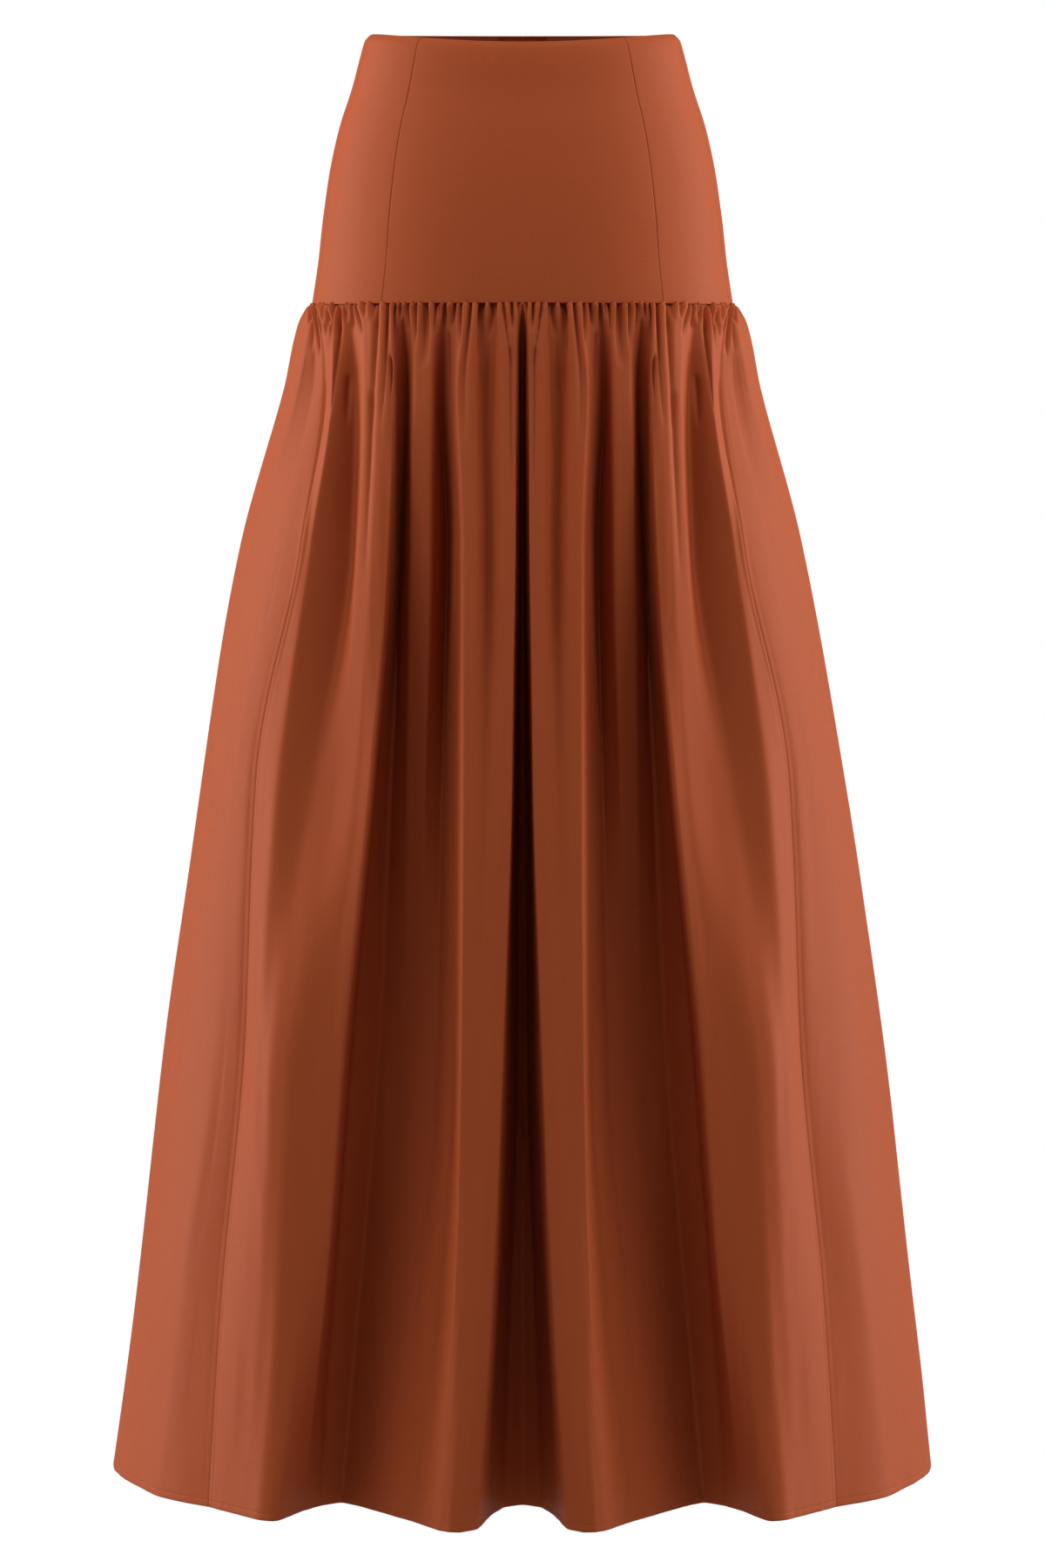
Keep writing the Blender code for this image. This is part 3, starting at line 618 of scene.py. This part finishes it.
def yoke_surface(angle, along):
    """Small unevenness of the yoke: how far in a point lies. It is the same on both sides of the front."""
    wrapped = np.where(angle > math.pi, angle - 2 * math.pi, angle)
    side = np.where(np.cos(wrapped) > 0, abs(wrapped), wrapped)
    across = side * 130
    soft = 0.22 * value_noise(across, along, 34, 60, 11)
    edge = math.exp(-(YOKE_DEPTH - along) / 16)
    pull = 0.28 * value_noise(across, along, 5.5, 26, 12) * edge
    pucker = 0.0
    for seam in (FRONT_PRINCESS, SIDE_SEAM, BACK_PRINCESS):
        away = abs(abs(np.degrees(wrapped)) - seam) * 2.4
        pucker = pucker + 0.09 * np.exp(-away / 5) * value_noise(across * 0.1, along, 3, 7.5, int(seam))
    line = 0.13 * math.exp(-((along - UNDERSTITCH) / 0.32) ** 2)
    return soft + pull + pucker + line


def yoke_panel(name, start, end, material):
    """A yoke panel between two angles in degrees: a closed wall with rolled seam edges."""
    outer = []
    inner = []
    for along, roll in yoke_rows():
        angles, rolls = yoke_columns(start, end, along, YOKE_EDGE_GAP)
        inset = np.maximum(roll, rolls) + yoke_surface(angles, along) * (1 - np.maximum(rolls, 0))
        outer.append(yoke_points(angles, along, np.maximum(inset, 0)))
        wall = 0.62 if along > 186 else WALL
        lowered = along + 0.3 * math.exp(-along / 0.3)
        inner.append(yoke_points(angles, min(lowered, YOKE_DEPTH), wall + 0.0 * angles))
    outer, inner = np.array(outer), np.array(inner)
    middle = len(outer) // 2
    steps = np.linalg.norm(np.diff(outer[middle], axis=0), axis=-1)
    across = np.concatenate([[0], np.cumsum(steps)])
    return shell_object(name, outer, inner, material, across)


FACING_DEPTH = 40
FACING_COLUMNS = 60
FACING_END = 180 - 13 / 80 * 57.3
# mm below the waist edge, mm its edges are rounded by
FACING_ROWS = (
    (1.3, 0.4), (1.5, 0.15), (2.0, 0.0), (4, 0), (8, 0), (14, 0), (20, 0), (26, 0), (32, 0), (37, 0),
    (39.2, 0.0), (39.8, 0.15), (40.0, 0.4),
)


def facing_half(name, side, material):
    """Half of the back waist facing, inside the back panels and 13 mm clear of the zip."""
    outer = []
    inner = []
    for along, roll in FACING_ROWS:
        angles = np.radians(np.linspace(SIDE_SEAM, FACING_END, FACING_COLUMNS))
        if side < 0:
            angles = (2 * math.pi - angles)[::-1]
        outer.append(yoke_points(angles, along, WALL + SEAM_GAP + roll + 0.0 * angles))
        inner.append(yoke_points(angles, along, WALL + SEAM_GAP + 1.0 - roll * 0.5 + 0.0 * angles))
    outer, inner = np.array(outer), np.array(inner)
    steps = np.linalg.norm(np.diff(outer[0], axis=0), axis=-1)
    return shell_object(name, outer, inner, material, np.concatenate([[0], np.cumsum(steps)]))


# ---------------------------------------------------------------- materials

def node_tree(name):
    material = bpy.data.materials.new(name)
    material.use_nodes = True
    tree = material.node_tree
    return material, tree, tree.nodes["Principled BSDF"]


def add(tree, kind, **values):
    """A new shader node. Values set its properties, or its inputs where the name is an input's."""
    node = tree.nodes.new(kind)
    for key, value in values.items():
        if hasattr(node, key) and key not in node.inputs:
            setattr(node, key, value)
        else:
            node.inputs[key].default_value = value
    return node


def mathed(tree, operation, first, second=None):
    node = add(tree, "ShaderNodeMath", operation=operation)
    for slot, value in zip(node.inputs, (first, second)):
        if value is None:
            continue
        if isinstance(value, (int, float)):
            slot.default_value = value
        else:
            tree.links.new(value, slot)
    return node.outputs[0]


THREAD = 0.00036
DARKEST, LIGHTEST = 0.72, 1.28
SPECULAR = 0.06


def cloth_material(name, colour, roughness, sheen, weave=1.0):
    """Woven cotton: plain weave, uneven threads, faint mottle and a low sheen."""
    material, tree, shader = node_tree(name)
    link = tree.links.new
    place = add(tree, "ShaderNodeTexCoord")
    split = add(tree, "ShaderNodeSeparateXYZ")
    link(place.outputs["UV"], split.inputs[0])
    warp = mathed(tree, "SINE", mathed(tree, "MULTIPLY", split.outputs[0], 2 * math.pi / THREAD))
    weft = mathed(tree, "SINE", mathed(tree, "MULTIPLY", split.outputs[1], 2 * math.pi / THREAD))
    crossing = mathed(tree, "MULTIPLY", warp, weft)

    threads = []
    for stretch, scale in (((1.0, 0.012, 1.0), 2600), ((0.012, 1.0, 1.0), 2600)):
        mapped = add(tree, "ShaderNodeMapping", Scale=stretch)
        link(place.outputs["UV"], mapped.inputs[0])
        noise = add(tree, "ShaderNodeTexNoise", Scale=scale, Detail=1.0)
        link(mapped.outputs[0], noise.inputs["Vector"])
        threads.append(noise.outputs[0])
    slub = mathed(tree, "SUBTRACT", mathed(tree, "ADD", *threads), 1.0)

    cloud = add(tree, "ShaderNodeTexNoise", Scale=9.0, Detail=3.0)
    link(place.outputs["Object"], cloud.inputs["Vector"])
    fine = add(tree, "ShaderNodeTexNoise", Scale=160.0, Detail=2.0)
    link(place.outputs["Object"], fine.inputs["Vector"])

    mottle = mathed(tree, "SUBTRACT", cloud.outputs[0], 0.5)
    grain = mathed(tree, "SUBTRACT", fine.outputs[0], 0.5)
    shade = mathed(tree, "MULTIPLY", mottle, 0.10)
    shade = mathed(tree, "ADD", shade, mathed(tree, "MULTIPLY", slub, 0.22))
    shade = mathed(tree, "ADD", shade, mathed(tree, "MULTIPLY", grain, 0.06))
    shade = mathed(tree, "ADD", shade, mathed(tree, "MULTIPLY", crossing, 0.03 * weave))
    mix = add(tree, "ShaderNodeMix", data_type="RGBA", clamp_factor=True)
    link(mathed(tree, "ADD", shade, 0.5), mix.inputs[0])
    mix.inputs[6].default_value = (*[c * DARKEST for c in colour], 1)
    mix.inputs[7].default_value = (*[min(1, c * LIGHTEST) for c in colour], 1)
    link(mix.outputs[2], shader.inputs["Base Color"])

    rough = mathed(tree, "ADD", mathed(tree, "MULTIPLY", grain, 0.16), roughness)
    link(rough, shader.inputs["Roughness"])
    crossed = mathed(tree, "MULTIPLY", crossing, 0.5 * weave)
    height = mathed(tree, "ADD", crossed, mathed(tree, "MULTIPLY", slub, 1.2))
    bump = add(tree, "ShaderNodeBump", Strength=0.5, Distance=0.00003)
    link(height, bump.inputs["Height"])
    link(bump.outputs[0], shader.inputs["Normal"])
    shader.inputs["Specular IOR Level"].default_value = SPECULAR
    shader.inputs["Sheen Weight"].default_value = sheen
    shader.inputs["Sheen Roughness"].default_value = 0.35
    shader.inputs["Sheen Tint"].default_value = (1.0, 0.72, 0.58, 1.0)
    return material


def metal_material(name, colour):
    """Enamelled zip metal, with fine unevenness and worn edges."""
    material, tree, shader = node_tree(name)
    link = tree.links.new
    place = add(tree, "ShaderNodeTexCoord")
    grain = add(tree, "ShaderNodeTexNoise", Scale=900.0, Detail=2.0)
    link(place.outputs["Object"], grain.inputs["Vector"])
    worn = add(tree, "ShaderNodeNewGeometry")
    edge = mathed(tree, "MULTIPLY", mathed(tree, "SUBTRACT", worn.outputs["Pointiness"], 0.53), 6.0)
    mix = add(tree, "ShaderNodeMix", data_type="RGBA", clamp_factor=True)
    link(mathed(tree, "ADD", edge, mathed(tree, "MULTIPLY", grain.outputs[0], 0.15)), mix.inputs[0])
    mix.inputs[6].default_value = (*colour, 1)
    mix.inputs[7].default_value = (0.62, 0.42, 0.32, 1)
    link(mix.outputs[2], shader.inputs["Base Color"])
    shader.inputs["Metallic"].default_value = 0.55
    rough = mathed(tree, "ADD", mathed(tree, "MULTIPLY", grain.outputs[0], 0.2), 0.25)
    link(rough, shader.inputs["Roughness"])
    return material


CLOTH_COLOUR = (0.42, 0.083, 0.026)
FACING_COLOUR = (0.40, 0.115, 0.055)
TAPE_COLOUR = (0.31, 0.070, 0.028)
METAL_COLOUR = (0.34, 0.08, 0.04)

skirt_cloth = cloth_material("skirt_cotton", CLOTH_COLOUR, 0.52, 0.0)
yoke_cloth = cloth_material("yoke_cotton", CLOTH_COLOUR, 0.54, 0.0)
facing_cloth = cloth_material("facing_cotton", FACING_COLOUR, 0.65, 0.15)
tape_cloth = cloth_material("tape_weave", TAPE_COLOUR, 0.7, 0.1, weave=1.6)
enamel = metal_material("zip_enamel", METAL_COLOUR)

# ---------------------------------------------------------------- the pieces

grid, grid_places, seam_left, seam_right = cloth_grid()
columns = grid.shape[1]
seam_back = (seam_left + seam_right) // 2
front_columns = np.arange(seam_right, seam_left + columns + 1) % columns


PANEL_TRIM = 0.015


def seam_trimmed(part):
    """Draws the panel's two side edges back from the seam by half its gap."""
    part = part.copy()
    for edge, beside in ((0, 1), (-1, -2)):
        run = part[:, beside] - part[:, edge]
        run /= np.linalg.norm(run, axis=-1, keepdims=True)
        part[:, edge] += run * PANEL_TRIM
    return part


front_across = (grid_places[front_columns] + MEASURE[-1]) % WHOLE - MEASURE[-1]
front_grid = seam_trimmed(grid[:, front_columns])
skirt_front = sheet_object("skirt_front_cloth", front_grid, front_across, skirt_cloth)
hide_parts("skirt_front")
skirt_backs = []
BACK_PANELS = (("skirt_back_left", seam_left, seam_back), ("skirt_back_right", seam_back, seam_right))
for node, first, last in BACK_PANELS:
    picked = np.arange(first, last + 1)
    piece = sheet_object(node + "_cloth", seam_trimmed(grid[:, picked]), grid_places[picked], skirt_cloth)
    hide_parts(node)
    skirt_backs.append(piece)

YOKE_PANELS = (
    ("yoke_centre_front", -FRONT_PRINCESS, FRONT_PRINCESS),
    ("yoke_side_front_left", FRONT_PRINCESS, SIDE_SEAM),
    ("yoke_side_back_left", SIDE_SEAM, BACK_PRINCESS),
    ("yoke_centre_back_left", BACK_PRINCESS, 180),
    ("yoke_centre_back_right", 180, 360 - BACK_PRINCESS),
    ("yoke_side_back_right", 360 - BACK_PRINCESS, 360 - SIDE_SEAM),
    ("yoke_side_front_right", 360 - SIDE_SEAM, 360 - FRONT_PRINCESS),
)
yoke = {}
for node, start, end in YOKE_PANELS:
    piece = yoke_panel(node + "_cloth", start, end, yoke_cloth)
    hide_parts(node)
    yoke[node] = piece

facings = []
for node, side in (("waist_facing_left", 1), ("waist_facing_right", -1)):
    piece = facing_half(node + "_cloth", side, facing_cloth)
    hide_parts(node)
    facings.append(piece)

cloth_slots = [(piece, "cloth") for piece in (skirt_front, *skirt_backs)]
cloth_slots += [(piece, "cloth") for piece in yoke.values()]
cloth_slots += [(piece, "facing") for piece in facings]
for piece, slot in cloth_slots:
    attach(piece, "garment")

for node, material in (("zip_tape", tape_cloth), ("zip_slider", enamel), ("zip_pull_tab", enamel)):
    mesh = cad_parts[node].data
    mesh.materials.clear()
    mesh.materials.append(material)


# ---------------------------------------------------------------- stage, light and camera

FLOOR_DROP = 0.35
BACKDROP_REACH = 9.0
BACKDROP_HEIGHT = 7
BACKDROP_BEND = 1.5
BEND_STEPS = 12
FRONT_FILL = 0.34
ASIDE_FILL = 1.45
BACK_FILL = 0.3
SOFTBOX_TURN = math.radians(107)
SOFTBOX_AWAY = 2.5
SOFTBOX_POWER = 58
HIGH_SOFTBOX_POWER = 9
CAMERA_PLACE = Vector((0, -4.282, -0.255))
CAMERA_TILT = 0.0378


def backdrop():
    """A pale floor that curves up into a wall far behind."""
    floor = CAD_LOW.z - FLOOR_DROP
    foot = BACKDROP_REACH - BACKDROP_BEND
    profile = [(-BACKDROP_REACH, floor), (foot, floor)]
    for i in range(1, BEND_STEPS + 1):
        turn = math.pi / 2 * i / BEND_STEPS
        rise = BACKDROP_BEND * (1 - math.cos(turn))
        profile.append((foot + BACKDROP_BEND * math.sin(turn), floor + rise))
    profile.append((BACKDROP_REACH, floor + BACKDROP_HEIGHT))
    vertices = [(x * BACKDROP_REACH / MM, y / MM, z / MM) for y, z in profile for x in (-1, 1)]
    faces = [(2 * i, 2 * i + 1, 2 * i + 3, 2 * i + 2) for i in range(len(profile) - 1)]
    material, tree, shader = node_tree("studio_paper")
    shader.inputs["Base Color"].default_value = (0.35, 0.35, 0.35, 1)
    shader.inputs["Roughness"].default_value = 0.9
    light_path = add(tree, "ShaderNodeLightPath")
    glow = add(tree, "ShaderNodeEmission", Strength=1.0)
    mix = add(tree, "ShaderNodeMixShader")
    tree.links.new(light_path.outputs["Is Camera Ray"], mix.inputs[0])
    tree.links.new(shader.outputs[0], mix.inputs[1])
    tree.links.new(glow.outputs[0], mix.inputs[2])
    tree.links.new(mix.outputs[0], tree.nodes["Material Output"].inputs[0])
    thing = build_mesh("studio_backdrop", vertices, faces, material)


def studio_light(name, place, aim, width, height, power):
    data = bpy.data.lights.new(name, "AREA")
    data.shape = "RECTANGLE"
    data.size = width
    data.size_y = height
    data.energy = power
    thing = bpy.data.objects.new(name, data)
    bpy.context.scene.collection.objects.link(thing)
    thing.location = place
    thing.rotation_euler = (Vector(aim) - Vector(place)).to_track_quat("-Z", "Y").to_euler()


def world_light():
    """White to the camera, a dim even fill to the cloth."""
    world = bpy.data.worlds.new("studio")
    bpy.context.scene.world = world
    world.use_nodes = True
    tree = world.node_tree
    background = tree.nodes["Background"]
    place = add(tree, "ShaderNodeTexCoord")
    split = add(tree, "ShaderNodeSeparateXYZ")
    tree.links.new(place.outputs["Generated"], split.inputs[0])
    ahead = add(tree, "ShaderNodeMapRange", interpolation_type="SMOOTHSTEP")
    tree.links.new(split.outputs["Y"], ahead.inputs["Value"])
    ahead.inputs["From Min"].default_value = -0.6
    ahead.inputs["From Max"].default_value = 0.3
    aside = add(tree, "ShaderNodeMapRange", interpolation_type="SMOOTHSTEP")
    tree.links.new(mathed(tree, "ABSOLUTE", split.outputs["X"]), aside.inputs["Value"])
    aside.inputs["From Min"].default_value = 0.72
    aside.inputs["From Max"].default_value = 0.98
    aside.inputs["To Min"].default_value = FRONT_FILL
    aside.inputs["To Max"].default_value = ASIDE_FILL
    tree.links.new(aside.outputs["Result"], ahead.inputs["To Min"])
    ahead.inputs["To Max"].default_value = BACK_FILL
    light_path = add(tree, "ShaderNodeLightPath")
    seen = add(tree, "ShaderNodeMix", data_type="FLOAT")
    tree.links.new(light_path.outputs["Is Camera Ray"], seen.inputs[0])
    tree.links.new(ahead.outputs["Result"], seen.inputs[2])
    seen.inputs[3].default_value = 1.0
    tree.links.new(seen.outputs[0], background.inputs["Strength"])
    background.inputs["Color"].default_value = (1, 1, 1, 1)


backdrop()
world_light()
for side in (-1, 1):
    beside = side * SOFTBOX_AWAY * math.sin(SOFTBOX_TURN)
    behind = -SOFTBOX_AWAY * math.cos(SOFTBOX_TURN)
    studio_light(f"side_softbox_{side}", (beside, behind, 0.05), (0, 0, -0.45), 1.2, 2.4, SOFTBOX_POWER)
    studio_light(
        f"high_softbox_{side}", (1.15 * side, -0.65, 0.9), (0, -0.1, -0.25), 1.0, 0.7, HIGH_SOFTBOX_POWER
    )

camera_data = bpy.data.cameras.new("camera")
camera = bpy.data.objects.new("camera", camera_data)
bpy.context.scene.collection.objects.link(camera)
bpy.context.scene.camera = camera
camera.location = CAMERA_PLACE
camera.rotation_euler = (math.pi / 2 - CAMERA_TILT, 0, 0)
camera_data.shift_y = -0.1
camera_data.sensor_width = 36
camera_data.lens = 139.3
camera_data.clip_start = 0.1
camera_data.clip_end = 50
bpy.context.scene.view_settings.view_transform = "Standard"

# ---------------------------------------------------------------- flat size and area of each yoke panel and facing, worked out but not used


def strip_cut(start, end, first, last):
    """Width and length of flat cloth between two angles and two distances from the waist, and its area."""
    turns = np.radians(np.linspace(start, end, 80))
    widths = []
    for along in (first, last):
        row = yoke_points(turns, along, 0.0 * turns)
        widths.append(float(np.linalg.norm(np.diff(row, axis=0), axis=-1).sum()) * MM)
    length = (last - first) * MM
    return (max(widths), length), sum(widths) / 2 * length


for node, start, end in YOKE_PANELS:
    flat, area = strip_cut(start, end, 0, YOKE_DEPTH)
for piece in facings:
    flat, area = strip_cut(SIDE_SEAM, 170, 0, FACING_DEPTH)
